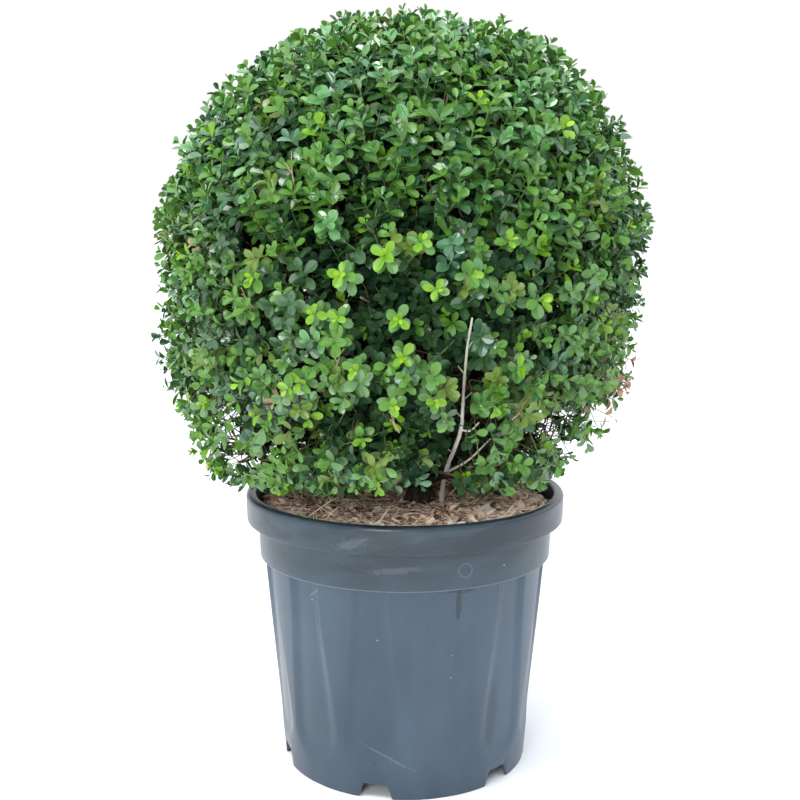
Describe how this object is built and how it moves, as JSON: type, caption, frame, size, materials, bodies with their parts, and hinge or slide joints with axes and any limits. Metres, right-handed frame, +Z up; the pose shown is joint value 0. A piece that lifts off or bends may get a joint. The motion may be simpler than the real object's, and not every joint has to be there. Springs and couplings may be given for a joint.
{
  "type": "box topiary ball in a nursery pot",
  "caption": "Evergreen box shrub clipped to a dense leafy ball on a short forked trunk, growing in a round fluted nursery pot of dark blue-grey plastic filled with bark-topped soil.",
  "frame": {"origin": "middle of the pot's underside, on the ground", "axes": "+Z up along the pot's axis, the pictured front faces -Y, +X to the right of the picture"},
  "size_m": [0.5442, 0.5343, 0.8365],
  "materials": {
    "pot_plastic": "semi-gloss moulded plastic, dusty",
    "soil": "rough potting soil with bark chips",
    "bark": "rough grey-brown bark",
    "dead_wood": "dry, bleached",
    "foliage": "leathery leaves with a light gloss"
  },
  "bodies": {
    "root": {"pot": "pot_plastic", "potting_soil": "soil", "trunk": "bark", "clipped_ball": "foliage", "bough_1": "bark", "bough_2": "bark", "bough_3": "bark", "bough_4": "bark", "bough_5": "bark", "low_bough_1": "bark", "low_bough_2": "bark", "low_bough_3": "bark", "low_bough_4": "bark", "low_bough_5": "bark", "low_bough_6": "bark", "pale_stem": "dead_wood", "pale_twig_low": "dead_wood", "pale_twig_high": "dead_wood", "skirt_1": "foliage", "skirt_2": "foliage", "skirt_3": "foliage", "skirt_4": "foliage", "skirt_5": "foliage", "skirt_6": "foliage"}
  },
  "joints": []
}
